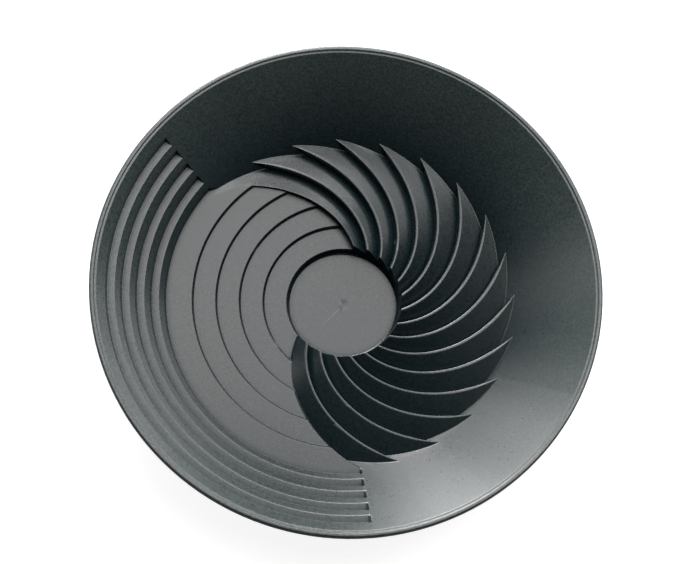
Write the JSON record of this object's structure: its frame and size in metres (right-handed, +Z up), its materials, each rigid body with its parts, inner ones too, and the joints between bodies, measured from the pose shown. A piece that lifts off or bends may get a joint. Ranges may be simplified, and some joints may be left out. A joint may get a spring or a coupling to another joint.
{
  "type": "gold pan",
  "caption": "Round shallow moulded pan with stepped riffles on part of its conical wall, spiral saw-tooth vanes and terraces round a deep central cup, and a turned-down lip.",
  "frame": {"origin": "centre of the flat underside of the cup, which the pan stands on", "axes": "+Z up along the pan's axis, from the cup towards the open side; +X and +Y lie in the plane it stands on, with the riffles centred near -X and running from 140 degrees to 274.5 degrees anticlockwise from +X, seen from above"},
  "size_m": [0.4, 0.4, 0.065],
  "materials": {
    "pan_plastic": "black polypropylene as moulded, even satin sheen, slightly brighter on rubbed edges"
  },
  "bodies": {
    "root": {"pan": "pan_plastic"}
  },
  "joints": []
}
